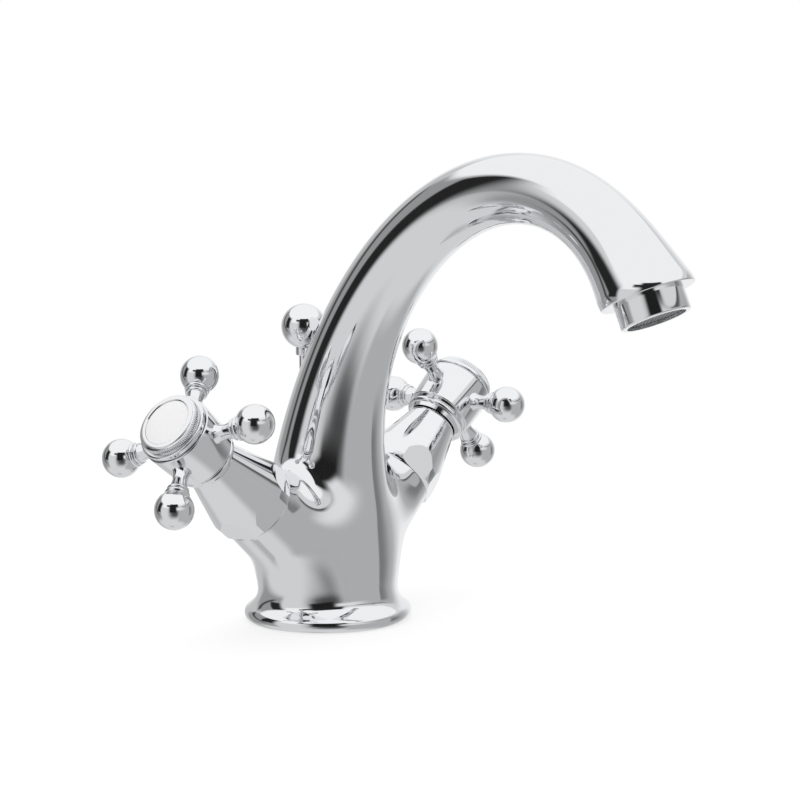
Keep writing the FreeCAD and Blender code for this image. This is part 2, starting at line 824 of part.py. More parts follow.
for name, side, handle_turn, flat_turn in SIDES:
    still = {
        "headwork_body": headwork_body(),
        "headwork_washer": headwork_washer(),
        "seat_seal": seat_seal(),
        "fixed_disc": fixed_disc(),
        "moving_disc": moving_disc(),
        "spindle": spindle(),
        "spindle_oring": spindle_oring(),
        "bonnet": bonnet(flat_turn),
    }
    handle = {
        "handle_hub": handle_hub(),
        "handle_arms": handle_arms(),
        "handle_screw": handle_screw(),
        "cap_ring": cap_ring(),
        "index_disc": index_disc(),
    }
    for piece, shape in still.items():
        nodes[name + "_" + piece] = on_valve_axis(shape, side)
    for piece, shape in handle.items():
        nodes[name + "_" + piece] = on_valve_axis(shape, side, handle_turn)

os.makedirs("parts", exist_ok=True)
for name, shape in nodes.items():
    shape.exportStep(os.path.join("parts", name + ".step"))
    print(name, len(shape.Solids), "solid(s), volume", round(shape.Volume, 1), "valid", shape.isValid())
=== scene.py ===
import math

import bmesh
import bpy
import numpy as np
from mathutils import Matrix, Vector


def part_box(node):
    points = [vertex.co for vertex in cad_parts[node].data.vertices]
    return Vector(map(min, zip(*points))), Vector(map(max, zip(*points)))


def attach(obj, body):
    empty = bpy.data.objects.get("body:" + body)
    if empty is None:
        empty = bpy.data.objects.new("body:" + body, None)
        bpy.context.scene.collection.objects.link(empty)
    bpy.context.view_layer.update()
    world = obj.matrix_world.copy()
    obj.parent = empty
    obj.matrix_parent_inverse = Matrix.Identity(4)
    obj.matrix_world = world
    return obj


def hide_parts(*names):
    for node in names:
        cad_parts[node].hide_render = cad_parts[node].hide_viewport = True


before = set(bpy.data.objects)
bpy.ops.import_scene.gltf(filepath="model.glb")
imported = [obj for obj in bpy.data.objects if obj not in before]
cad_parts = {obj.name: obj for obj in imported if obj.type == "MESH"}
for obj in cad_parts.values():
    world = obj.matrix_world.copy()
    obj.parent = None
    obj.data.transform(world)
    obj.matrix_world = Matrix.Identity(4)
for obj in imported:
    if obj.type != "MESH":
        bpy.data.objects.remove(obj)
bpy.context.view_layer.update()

# Body casting. One brass casting holds the foot, the stem, the swan neck and the two valve
# arms; it is ground and buffed until the arms flow into the stem, then nickel and chromium
# plated. The skin is worked out in millimetres from the same sizes as the solid.
MM = 0.001
FOOT_RADIUS, LIP_RADIUS, LIP_HEIGHT = 27.4, 28.5, 4.4
LIP_ROUND, LIP_SWING = 2.75, 53.13
NECK_RADIUS, FLARE_HEIGHT = 22.9, 9.6
STEM_RADIUS, STEM_HEIGHT, STEM_LEAN = 21.6, 26.0, 1.0
OUTLET_CENTRE, OUTLET_TILT, OUTLET_EDGE = (0.0, -131.5, 116.0), math.radians(23.5), 0.35
OUTLET_TURN_SHARE = 0.75
NECK_Y = (-1.0, -1.0, -26.06, -65.47, -102.27, -118.19, -131.5)
NECK_Z = (40.0, 89.5, 138.5, 163.5, 158.0, 135.5, 116.0)
NECK_SWELL = (21.6, 9.3, 11.5, 12.6, 8.0, 15.8)
LIP_TURN, LIP_RUN = 0.75, 3.6
NECK_RUN = (len(NECK_Z) - 1) * (NECK_Z[1] - NECK_Z[0])
SOFTENING = 4.0
VALVE_HEIGHT, VALVE_TILT = 15.2, math.radians(38.44)
ARM_LENGTH, ARM_RIM_RADIUS, ARM_ROOT_RADIUS, ARM_EDGE = 45.1, 13.15, 15.0, 0.4
THREAD_RADIUS, THREAD_LENGTH, BARREL_RADIUS, BARREL_DEPTH = 10.3, 9.0, 8.9, 21.0
SOCKET_RADIUS, SOCKET_DEPTH = 11.0, 8.0
GASKET_OUTER, GASKET_INNER, GASKET_DEPTH = 25.5, 21.5, 2.0
BLEND_SPANS = (13.0, 13.0, 11.0)
PATCH_TOP = 62.0
TABLE_STEP = 0.25
# How closely the skin is searched for, how many cells it is cut into, and how far from the mouth
# the neck's rows draw together.
STATION_STEPS, HALVINGS, SEAM_STEPS = 6, 34, 8
SEARCH_MARGIN, SEAM_SEARCH_FROM, SEAM_TRIALS = 1.0, 5.0, 721
HALF_CELLS, SIDE_CELLS, PATCH_RINGS, ARM_RINGS, RIM_STEPS, LIP_STEPS = 80, 50, 44, 27, 5, 15
ARM_CROWDING = 1.15
TUBE_CELLS, LIP_CELLS, EDGE_CELLS = 220, 22, 9
LIP_FROM, LIP_NEXT, EDGE_FROM, EDGE_LENGTH, EDGE_START = 9.0, 8.6, 0.85, 0.75, 0.1


def bezier(controls, share):
    """A Bezier curve of any degree: the controls weighed by the binomial shares of their run."""
    degree = len(controls) - 1
    return sum(
        math.comb(degree, index) * share ** index * (1 - share) ** (degree - index) * control
        for index, control in enumerate(controls)
    )


def eased(share):
    """A share held between 0 and 1 that starts and ends gently: s squared times (3 - 2 s)."""
    held = np.clip(share, 0, 1)
    return held * held * (3 - 2 * held)


def softened(values, hold):
    """A run of table values averaged with a bell curve, except where hold is 0."""
    reach = int(3 * SOFTENING / TABLE_STEP)
    offsets = np.arange(-reach, reach + 1) * TABLE_STEP
    bell = np.exp(-0.5 * (offsets / SOFTENING) ** 2)
    ends = np.pad(values, reach, mode="reflect", reflect_type="odd")
    soft = np.convolve(ends, bell / bell.sum(), mode="valid")
    return values + (soft - values) * hold


# The middle line, the section angle and the radius of the column, tabled along its run:
# flare, stem and then the swan neck, whose run starts at the stem's own pace.
RUN_AT_NECK = FLARE_HEIGHT + STEM_HEIGHT
RUN_END = RUN_AT_NECK + NECK_RUN
runs = np.append(np.arange(0, RUN_END, TABLE_STEP), RUN_END)
flare_share = np.clip(runs / FLARE_HEIGHT, 0, 1)
stem_share = np.clip((runs - FLARE_HEIGHT) / STEM_HEIGHT, 0, 1)
neck_share = np.clip((runs - RUN_AT_NECK) / NECK_RUN, 0, 1)
on_neck = runs > RUN_AT_NECK
hold = eased((runs - FLARE_HEIGHT) / STEM_HEIGHT) * eased((RUN_END - runs) / STEM_HEIGHT)
line_y = softened(np.where(on_neck, bezier(NECK_Y, neck_share), -STEM_LEAN * eased(stem_share)), hold)
line_z = softened(np.where(on_neck, bezier(NECK_Z, neck_share), LIP_HEIGHT + runs), hold)
stem_radii = NECK_RADIUS + (FOOT_RADIUS - NECK_RADIUS) * (1 - flare_share) ** 3
stem_radii += (STEM_RADIUS - NECK_RADIUS) * stem_share ** 2
radii = softened(np.where(on_neck, bezier(NECK_SWELL, neck_share), stem_radii), hold)
climbs = np.unwrap(np.arctan2(np.gradient(line_z, runs), -np.gradient(line_y, runs)))
climbs[runs < FLARE_HEIGHT] = math.pi / 2
turning = eased((neck_share - OUTLET_TURN_SHARE) / (1 - OUTLET_TURN_SHARE))
climbs += (OUTLET_TILT - math.pi / 2 - climbs[-1]) * turning
growths = np.gradient(radii, runs)
to_mouth = np.hypot(line_y - OUTLET_CENTRE[1], line_z - OUTLET_CENTRE[2])


def column_point(run, angle, radius):
    """A point of the column: the middle line plus radius times (cos angle, sin angle) in its section."""
    climb = np.interp(run, runs, climbs)
    return np.stack([
        radius * np.cos(angle),
        np.interp(run, runs, line_y) + radius * np.sin(angle) * np.sin(climb),
        np.interp(run, runs, line_z) + radius * np.sin(angle) * np.cos(climb),
    ], -1)


def column_station(points, run):
    """The run of the section that a point lies in, found by stepping along the section's normal."""
    for _ in range(STATION_STEPS):
        climb = np.interp(run, runs, climbs)
        ahead = (points[..., 2] - np.interp(run, runs, line_z)) * np.sin(climb)
        ahead -= (points[..., 1] - np.interp(run, runs, line_y)) * np.cos(climb)
        run = np.clip(run + ahead, 0, RUN_END)
    return run


def off_column(run, radius):
    """The distance off the column's skin: the radial gap times the cosine of the skin's slope."""
    growth = np.interp(run, runs, growths)
    return (radius - np.interp(run, runs, radii)) / np.sqrt(1 + growth ** 2)


def valve_frame(side):
    """The across, up and along directions of one valve axis."""
    across = np.array([0.0, 1.0, 0.0])
    up = np.array([-math.sin(VALVE_TILT), 0.0, side * math.cos(VALVE_TILT)])
    along = np.array([side * math.cos(VALVE_TILT), 0.0, math.sin(VALVE_TILT)])
    return across, up, along


def on_valve(points, side, turn=0.0):
    """Points built about Z, turned about it and stood on one side's valve axis."""
    across, up, along = valve_frame(side)
    spin = math.radians(turn)
    x = points[..., 0] * math.cos(spin) - points[..., 1] * math.sin(spin)
    y = points[..., 0] * math.sin(spin) + points[..., 1] * math.cos(spin)
    stood = x[..., None] * across + y[..., None] * up + points[..., 2][..., None] * along
    return stood + np.array([0.0, 0.0, VALVE_HEIGHT])


def off_arm(points, side):
    """The distance off one tapered valve arm, and the span of its blend into the stem there.

    The distance is the gap to the arm's axis less its radius there, times the cosine of the
    taper; the arm's root is a ball in the stem. The blend is a little tighter under the arm.
    """
    _, up, along = valve_frame(side)
    out = points - np.array([0.0, 0.0, VALVE_HEIGHT])
    reach = np.maximum(out @ along, 0)
    slope = (ARM_ROOT_RADIUS - ARM_RIM_RADIUS) / ARM_LENGTH
    radius = np.linalg.norm(out - reach[..., None] * along, axis=-1)
    under = eased(0.5 - side * (out @ up) / (2 * ARM_ROOT_RADIUS))
    gap = (radius - ARM_ROOT_RADIUS + slope * reach) / math.sqrt(1 + slope ** 2)
    return gap, bezier(BLEND_SPANS, under)


def swelling(depth, span):
    """How much a second form adds to the skin: nothing while its depth d is under -k, (k + d)
    squared over 4 k up to k, and d from there on, where k is the blend's span."""
    within = np.clip(depth, -span, span)
    return (span + within) ** 2 / (4 * span) + np.maximum(depth - span, 0)


def off_body(points, off_stem):
    """The distance off the body: the column's, less what each arm adds to it."""
    total = off_stem
    for side in (1, -1):
        gap, span = off_arm(points, side)
        total = total - swelling(off_stem - gap, span)
    return total


def halved(low, high, outside):
    """The value between low and high at which outside turns true, by halving the span."""
    for _ in range(HALVINGS):
        middle = (low + high) / 2
        beyond = outside(middle)
        low, high = np.where(beyond, low, middle), np.where(beyond, middle, high)
    return (low + high) / 2


def column_skin(run, angle):
    """The blended skin met by a ray in the column's section."""
    radius = np.interp(run, runs, radii)

    def outside(grown):
        return off_body(column_point(run, angle, grown), off_column(run, grown)) > 0
    skin = halved(radius - SEARCH_MARGIN, radius + BLEND_SPANS[0], outside)
    return column_point(run, angle, skin)


def arm_point(reach, angle, radius):
    """A point about the arm's axis, built along Z and stood on the +X side."""
    spun = np.stack([radius * np.cos(angle), radius * np.sin(angle), reach + 0 * angle], -1)
    return on_valve(spun, 1)


def column_angle(points, run):
    """The angle of free points about the column's middle line, in their section."""
    climb = np.interp(run, runs, climbs)
    back = (points[..., 1] - np.interp(run, runs, line_y)) * np.sin(climb)
    back += (points[..., 2] - np.interp(run, runs, line_z)) * np.cos(climb)
    return np.arctan2(back, points[..., 0])


def stem_gap(points):
    """The distance of free points off the column, and the run of their section."""
    run = column_station(points, np.clip(points[..., 2] - LIP_HEIGHT, 0, RUN_END))
    centre = column_point(run, 0 * run, 0 * run)
    return off_column(run, np.linalg.norm(points - centre, axis=-1)), run


def arm_radius(reach):
    """The radius of the tapered arm, which falls evenly from its root to its rim."""
    return ARM_ROOT_RADIUS - (ARM_ROOT_RADIUS - ARM_RIM_RADIUS) * reach / ARM_LENGTH


def arm_skin(reach, angle):
    """The blended skin met by a ray square to the arm's axis."""
    radius = arm_radius(reach)

    def outside(grown):
        points = arm_point(reach, angle, grown)
        return off_body(points, stem_gap(points)[0]) > 0
    skin = halved(radius - SEARCH_MARGIN, radius + BLEND_SPANS[0], outside)
    return arm_point(reach, angle, skin)


def seam_point(angle):
    """Where the blended skin is as far off the arm as off the column: its reach and place.

    That distance is a quarter of the blend's span, which is looked up again as the place moves.
    """
    lift = 0 * angle + BLEND_SPANS[1] / 4
    for _ in range(SEAM_STEPS):
        def outside(reach):
            return stem_gap(arm_point(reach, angle, arm_radius(reach) + lift))[0] > lift
        reach = halved(0 * angle + SEAM_SEARCH_FROM, 0 * angle + ARM_LENGTH, outside)
        place = arm_point(reach, angle, arm_radius(reach) + lift)
        lift = off_arm(place, 1)[1] / 4
    return reach, place


MERGE_WITHIN, PLAIN_SHARP = 0.003, 32.0


def surface(name, sheets, sharp=PLAIN_SHARP):
    """One closed mesh from sheets of points in millimetres, with edges sharp from an angle on.

    Neighbours in a sheet's rows and columns make a quad. Points that fall together are merged,
    which closes the seams and the poles, and the faces are then turned outward.
    """
    points, quads, start = [], [], 0
    for sheet in sheets:
        rows, columns, _ = sheet.shape
        index = start + np.arange(rows * columns).reshape(rows, columns)
        quads.append(np.stack([
            index[:-1, :-1], index[:-1, 1:], index[1:, 1:], index[1:, :-1],
        ], -1).reshape(-1, 4))
        points.append(sheet.reshape(-1, 3) * MM)
        start += rows * columns
    mesh = bpy.data.meshes.new(name)
    mesh.from_pydata(np.concatenate(points).tolist(), [], np.concatenate(quads).tolist())
    work = bmesh.new()
    work.from_mesh(mesh)
    bmesh.ops.remove_doubles(work, verts=work.verts, dist=MERGE_WITHIN * MM)
    bmesh.ops.recalc_face_normals(work, faces=work.faces)
    work.to_mesh(mesh)
    work.free()
    mesh.shade_smooth()
    mesh.set_sharp_from_angle(angle=math.radians(sharp))
    piece = bpy.data.objects.new(name, mesh)
    bpy.context.scene.collection.objects.link(piece)
    return piece


def ringed(outline, angles):
    """A sheet turned about Z: each outline point's radius and height carried round the angles."""
    radius, height = np.array(outline, float).T[:, :, None]
    return np.stack([radius * np.cos(angles), radius * np.sin(angles), height + 0 * angles], -1)


def arc(centre, radius, start, end, steps):
    """Points of an outline on an arc about a centre, between two angles in degrees."""
    swing = np.radians(np.linspace(start, end, steps))
    return [(centre[0] + radius * math.cos(a), centre[1] + radius * math.sin(a)) for a in swing]


def on_outlet(points):
    """Points built about Z, stood on the outlet with +Z along the water."""
    across = np.array([1.0, 0.0, 0.0])
    along = np.array([0.0, -math.sin(OUTLET_TILT), -math.cos(OUTLET_TILT)])
    up = np.cross(along, across)
    return points @ np.array([across, up, along]) + np.array(OUTLET_CENTRE)


def body_sheets():
    """The sheets of the whole casting, from its underside to the mouth of the spout.

    Each half of the column below the neck is a sheet from the seam round its arm out to the
    half's four edges. The arm runs from that seam to its rim, and the neck is one long tube
    that turns in at the mouth, first as a square of the nearness and then round a small edge.
    """
    half, side = HALF_CELLS, SIDE_CELLS
    crest = line_z.argmax()
    run_top = float(np.interp(PATCH_TOP, line_z[:crest], runs[:crest]))
    quarter = math.pi / 2
    edge_angles = np.concatenate([
        np.linspace(-quarter, quarter, half, endpoint=False), np.full(side, quarter),
        np.linspace(quarter, -quarter, half, endpoint=False), np.full(side, -quarter), [-quarter],
    ])
    edge_runs = np.concatenate([
        np.zeros(half), np.linspace(0, run_top, side, endpoint=False),
        np.full(half, run_top), np.linspace(run_top, 0, side, endpoint=False), [0],
    ])
    trial = np.linspace(0, 2 * math.pi, SEAM_TRIALS)
    _, seam = seam_point(trial)
    seam_runs = stem_gap(seam)[1]
    middle_run = (seam_runs.max() + seam_runs.min()) / 2

    def bearing(angles, levels):
        """The direction of a place on the unrolled half as seen from the middle of the seam."""
        return np.arctan2(levels - middle_run, angles * NECK_RADIUS)
    seam_bearings = np.unwrap(bearing(column_angle(seam, seam_runs), seam_runs))
    edge_bearings = np.unwrap(bearing(edge_angles, edge_runs))
    order = np.argsort(seam_bearings)
    wrapped = (edge_bearings - seam_bearings.min()) % (2 * math.pi) + seam_bearings.min()
    arm_angles = np.interp(wrapped, seam_bearings[order], trial[order])
    reach, seam = seam_point(arm_angles)
    seam_runs = stem_gap(seam)[1]
    share = np.linspace(0, 1, PATCH_RINGS + 1)[:, None]
    patch_angles = column_angle(seam, seam_runs) * (1 - share) + edge_angles * share
    patch_runs = seam_runs * (1 - share) + edge_runs * share
    patch = column_skin(patch_runs, patch_angles)
    share = np.linspace(0, 1, ARM_RINGS)[:, None] ** ARM_CROWDING
    rim_at = ARM_LENGTH - ARM_EDGE
    angles = arm_angles + 0 * share
    arm = arm_skin(reach * (1 - share) + rim_at * share, angles)
    arm[0] = patch[0] = (arm[0] + patch[0]) / 2
    rim = arc((arm_radius(rim_at) - ARM_EDGE, rim_at), ARM_EDGE, 0, 90, RIM_STEPS) + [
        (THREAD_RADIUS, ARM_LENGTH), (THREAD_RADIUS, ARM_LENGTH - THREAD_LENGTH),
        (BARREL_RADIUS, ARM_LENGTH - THREAD_LENGTH), (BARREL_RADIUS, ARM_LENGTH - BARREL_DEPTH),
        (0, ARM_LENGTH - BARREL_DEPTH),
    ]
    end = on_valve(ringed(rim, arm_angles), 1)
    end[0] = arm[-1]
    round_angles = np.linspace(-math.pi, math.pi, 2 * half + 1)
    lip_centre = (LIP_RADIUS - LIP_ROUND, LIP_HEIGHT / 2)
    foot = ringed(
        arc(lip_centre, LIP_ROUND, LIP_SWING, -LIP_SWING, LIP_STEPS) + [
            (GASKET_OUTER, 0), (GASKET_OUTER, GASKET_DEPTH), (GASKET_INNER, GASKET_DEPTH),
            (GASKET_INNER, 0), (0, 0),
        ], round_angles)
    tube_runs = np.concatenate([
        np.linspace(run_top, RUN_END - LIP_FROM, TUBE_CELLS),
        np.linspace(RUN_END - LIP_NEXT, RUN_END - EDGE_FROM, LIP_CELLS),
        RUN_END - EDGE_LENGTH * (1 - np.sin(np.linspace(EDGE_START, quarter, EDGE_CELLS))),
    ])[:, None]
    near = np.clip(1 - np.interp(tube_runs, runs, to_mouth) / OUTLET_EDGE, 0, 1)
    turned = np.clip(1 - np.interp(tube_runs, runs, to_mouth) / LIP_RUN, 0, 1)
    drawn_in = OUTLET_EDGE * (1 - np.sqrt(1 - near ** 2)) + LIP_TURN * turned ** 2
    tube = column_point(tube_runs, round_angles, np.interp(tube_runs, runs, radii) - drawn_in)
    mouth_radius = NECK_SWELL[-1] - OUTLET_EDGE - LIP_TURN
    mouth = on_outlet(ringed([
        (mouth_radius, 0), (SOCKET_RADIUS, 0), (SOCKET_RADIUS, -SOCKET_DEPTH), (0, -SOCKET_DEPTH),
    ], round_angles))
    mirrored = np.array([-1.0, 1.0, 1.0])
    return [foot, patch, patch * mirrored, arm, arm * mirrored, end, end * mirrored, tube, mouth]


body = surface("chromed_body", body_sheets())


def linear(code):
    """A six-figure sRGB hex colour as linear red, green, blue and alpha."""
    shades = [int(code[at:at + 2], 16) / 255 for at in (0, 2, 4)]
    return [s / 12.92 if s <= 0.04045 else ((s + 0.055) / 1.055) ** 2.4 for s in shades] + [1.0]


def add(tree, kind, inputs=None, **settings):
    """Adds a node. Settings are its properties; inputs are socket values or the outputs to link."""
    made = tree.nodes.new("ShaderNode" + kind)
    for key, value in settings.items():
        setattr(made, key, value)
    for key, value in (inputs or {}).items():
        if isinstance(value, bpy.types.NodeSocket):
            tree.links.new(value, made.inputs[key])
        else:
            made.inputs[key].default_value = value
    return made


def finish_of(name, shader):
    """A material whose principled shader has the given sockets, and its tree and shader node."""
    material = bpy.data.materials.new(name)
    material.use_nodes = True
    principled = material.node_tree.nodes["Principled BSDF"]
    for key, value in shader.items():
        principled.inputs[key].default_value = value
    return material, material.node_tree, principled


HAZE_LOW, HAZE_HIGH = 0.35, 0.7


def polished(name, colour, haze_mm, ripple_mm, ripple_depth_mm, smooth, hazy):
    """A plated mirror finish: cloudy polish in the roughness and the faint ripple of the metal
    below. Only the middle of the noise's range, from low to high haze, is spread over it."""
    material, tree, shader = finish_of(name, {"Metallic": 1.0, "Base Color": linear(colour)})
    place = add(tree, "TexCoord").outputs["Object"]
    haze = add(tree, "TexNoise", {"Vector": place, "Scale": 1 / (haze_mm * MM), "Detail": 5.0})
    spread = add(tree, "MapRange", {
        "Value": haze.outputs["Fac"], "From Min": HAZE_LOW, "From Max": HAZE_HIGH,
        "To Min": smooth, "To Max": hazy,
    })
    tree.links.new(spread.outputs["Result"], shader.inputs["Roughness"])
    ripple = add(tree, "TexNoise", {"Vector": place, "Scale": 1 / (ripple_mm * MM), "Detail": 1.0})
    bump = add(tree, "Bump", {
        "Height": ripple.outputs["Fac"], "Distance": ripple_depth_mm * MM, "Strength": 1.0,
    })
    tree.links.new(bump.outputs["Normal"], shader.inputs["Normal"])
    return material


# Bright chromium over cast and hand-buffed brass: a mirror with a trace of waviness.
cast_chrome = polished("buffed_chrome_on_cast_brass", "ECEDEF", haze_mm=9.0, ripple_mm=16.0,
                       ripple_depth_mm=0.012, smooth=0.028, hazy=0.06)


def fit(piece, body_name, slot, material, *nodes):
    """Dresses a piece, sets it on its body and hides the solids that it takes the place of."""
    piece.data.materials.append(material)
    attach(piece, body_name)
    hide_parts(*nodes)


fit(body, "tap_body", "chrome_casting", cast_chrome, "body_casting")


def grained(name, light, dark, grain_mm, depth_mm, smooth, rough, **sockets):
    """A finish whose colour and roughness drift with a fine grain that also lifts the surface."""
    material, tree, shader = finish_of(name, sockets)
    place = add(tree, "TexCoord").outputs["Object"]
    grain = add(tree, "TexNoise", {"Vector": place, "Scale": 1 / (grain_mm * MM), "Detail": 4.0})
    tint = add(tree, "Mix", {
        "Factor": grain.outputs["Fac"], "A": linear(light), "B": linear(dark),
    }, data_type="RGBA")
    spread = add(tree, "MapRange", {"Value": grain.outputs["Fac"], "To Min": smooth, "To Max": rough})
    bump = add(tree, "Bump", {
        "Height": grain.outputs["Fac"], "Distance": depth_mm * MM, "Strength": 1.0,
    })
    tree.links.new(tint.outputs["Result"], shader.inputs["Base Color"])
    tree.links.new(spread.outputs["Result"], shader.inputs["Roughness"])
    tree.links.new(bump.outputs["Normal"], shader.inputs["Normal"])
    return material


def clad(material, *nodes):
    """Gives solids that are shown as they are their finish."""
    for node in nodes:
        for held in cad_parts[node].material_slots:
            held.material = material


# Foot gasket and the bush that guides the lift rod: both sit in the casting. The gasket is
# moulded black rubber with a dull bloom, the bush moulded white nylon, half matt and cloudy.
rubber = grained("moulded_black_rubber", "232324", "161617",
                 grain_mm=0.5, depth_mm=0.01, smooth=0.6, rough=0.85)
clad(rubber, "base_gasket")
nylon = grained("moulded_white_nylon", "EEEEE8", "E0E0D8",
                grain_mm=2.0, depth_mm=0.006, smooth=0.4, rough=0.6)
clad(nylon, "rod_bush")

# Aerator. A turned and plated brass sleeve screws into the mouth; a white acetal cartridge
# inside it holds a disc of woven stainless wire just above the lip. A real weave is about half
# a millimetre in pitch, and this one is drawn coarser so that it shows.
AERATOR_RADIUS, AERATOR_LENGTH, AERATOR_EDGE = 11.2, 7.6, 0.6
AERATOR_THREAD, AERATOR_BORE, AERATOR_LIP, AERATOR_LIP_HEIGHT = 10.95, 9.9, 9.4, 1.0
AERATOR_TOP = -6.4
WIRE_PITCH, WIRE_RADIUS, WIRE_END_GAP, SCREEN_LEVEL = 0.85, 0.14, 0.1, 6.25
WIRE_SIDES, WIRE_SHARP = 6, 70.0
FULL_TURN = np.linspace(-math.pi, math.pi, 129)

edge_centre = (AERATOR_RADIUS - AERATOR_EDGE, AERATOR_LENGTH - AERATOR_EDGE)
lip_foot = AERATOR_LENGTH - AERATOR_LIP_HEIGHT
sleeve = surface("aerator_sleeve", [on_outlet(ringed([
    (AERATOR_BORE, AERATOR_TOP), (AERATOR_THREAD, AERATOR_TOP), (AERATOR_THREAD, 0), (AERATOR_RADIUS, 0),
] + arc(edge_centre, AERATOR_EDGE, 0, 90, steps=6) + [
    (AERATOR_LIP, AERATOR_LENGTH), (AERATOR_LIP, lip_foot), (AERATOR_BORE, lip_foot),
    (AERATOR_BORE, AERATOR_TOP),
], FULL_TURN))])

# Bright chromium over lathe-turned brass: the crispest mirror on the tap.
turned_chrome = polished("bright_chrome_on_turned_brass", "EFF0F2", haze_mm=5.0, ripple_mm=9.0,
                         ripple_depth_mm=0.003, smooth=0.022, hazy=0.045)
fit(sleeve, "tap_body", "chrome_turned", turned_chrome, "aerator_housing")


def woven_sheets():
    """Wires both ways across the bore: each a six-sided tube that rises and dips by its own radius
    in a cosine of one wave per two pitches, out of step with its neighbours."""
    sheets = []
    count = int(AERATOR_BORE / WIRE_PITCH)
    for way in (0, 1):
        for index in range(-count, count + 1):
            off = index * WIRE_PITCH
            half = math.sqrt(max((AERATOR_BORE - WIRE_END_GAP) ** 2 - off ** 2, 0))
            if half < WIRE_PITCH:
                continue
            steps = 2 * int(4 * half / WIRE_PITCH)
            along = np.linspace(-half, half, steps)[:, None]
            wave = WIRE_RADIUS * np.cos(math.pi * (along / WIRE_PITCH + index + way))
            rim = np.linspace(0, 2 * math.pi, WIRE_SIDES + 1)
            across = off + WIRE_RADIUS * np.cos(rim) + 0 * along
            level = SCREEN_LEVEL + wave + WIRE_RADIUS * np.sin(rim)
            along = along + 0 * rim
            pair = [along, across] if way else [across, along]
            tube = np.stack(pair + [level], -1)
            ends = tube.mean(1, keepdims=True) + 0 * tube
            sheets.append(on_outlet(np.concatenate([ends[:1], tube, ends[-1:]])))
    return sheets


screen = surface("woven_wire_screen", woven_sheets(), sharp=WIRE_SHARP)
# Drawn stainless wire: grey and half bright, with die lines too fine to show.
wire = grained("drawn_stainless_wire", "B0B2B4", "9C9EA1",
               grain_mm=0.6, depth_mm=0.001, smooth=0.25, rough=0.5, Metallic=1.0)
fit(screen, "tap_body", "steel_mesh", wire, "aerator_screen")
# The cartridge is moulded white acetal, with a waxy half gloss; its seal is black rubber.
acetal = grained("moulded_white_acetal", "F1F0EC", "E6E5DF",
                 grain_mm=1.5, depth_mm=0.004, smooth=0.3, rough=0.45)
clad(acetal, "aerator_insert")
clad(rubber, "aerator_seal")

# Pop-up waste: a drawn and plated rod slides behind the neck, and a turned ball knob is
# pressed on its top.
ROD_AT, ROD_RADIUS, ROD_FOOT = 9.5, 1.75, 2.0
KNOB_RADIUS, KNOB_NECK_RADIUS, KNOB_NECK_LENGTH, KNOB_SOCKET = 7.7, 2.9, 2.2, 6.0
KNOB_EDGE = 0.5
knob_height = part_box("lift_knob")[1].z / MM - KNOB_RADIUS
behind = np.array([0.0, ROD_AT, 0.0])
rod_top = knob_height - KNOB_RADIUS + KNOB_SOCKET
rod = surface("pull_rod", [ringed([
    (0, ROD_FOOT), (ROD_RADIUS, ROD_FOOT), (ROD_RADIUS, rod_top), (0, rod_top),
], FULL_TURN) + behind])
fit(rod, "waste_lift", "chrome_turned", turned_chrome, "lift_rod")
neck_foot = knob_height - KNOB_RADIUS - KNOB_NECK_LENGTH
neck_angle = -math.degrees(math.acos(KNOB_NECK_RADIUS / KNOB_RADIUS))
edge_centre = (KNOB_NECK_RADIUS - KNOB_EDGE, neck_foot + KNOB_EDGE)
knob = surface("ball_knob", [ringed(
    [(0, neck_foot)] + arc(edge_centre, KNOB_EDGE, -90, 0, steps=5)
    + arc((0, knob_height), KNOB_RADIUS, neck_angle, 90, steps=64), FULL_TURN) + behind])
fit(knob, "waste_lift", "chrome_turned", turned_chrome, "lift_knob")

# Valves, one on each arm, alike but for how far the parts were turned home. Each side has its
# name, its sign along X, and in degrees the turn of its handle and of its bonnet's flats.
# Heights run up the valve's axis from where it meets the axis of the foot.
SIDES = (("hot", -1, 20.0, 40.0), ("cold", 1, 0.0, 33.0))

# Bonnets, the covers over the headworks: a turned and plated brass cone on a short band, with
# six spanner flats milled into its foot.
BONNET_FOOT, BONNET_RADIUS, BONNET_EDGE, BONNET_BAND = 45.1, 14.3, 1.2, 5.7
BONNET_SHOULDER, BONNET_TOP_RADIUS, BONNET_CREASE, BONNET_SHARP = 71.8, 8.9, 0.01, 12.0
COLLAR_RADIUS, COLLAR_TOP = 7.4, 73.4
FLATS, FLAT_OUT = 6, 13.1
EDGE_ROWS, CONE_ROWS, LAND_POINTS, FLAT_POINTS = 7, 60, 9, 13


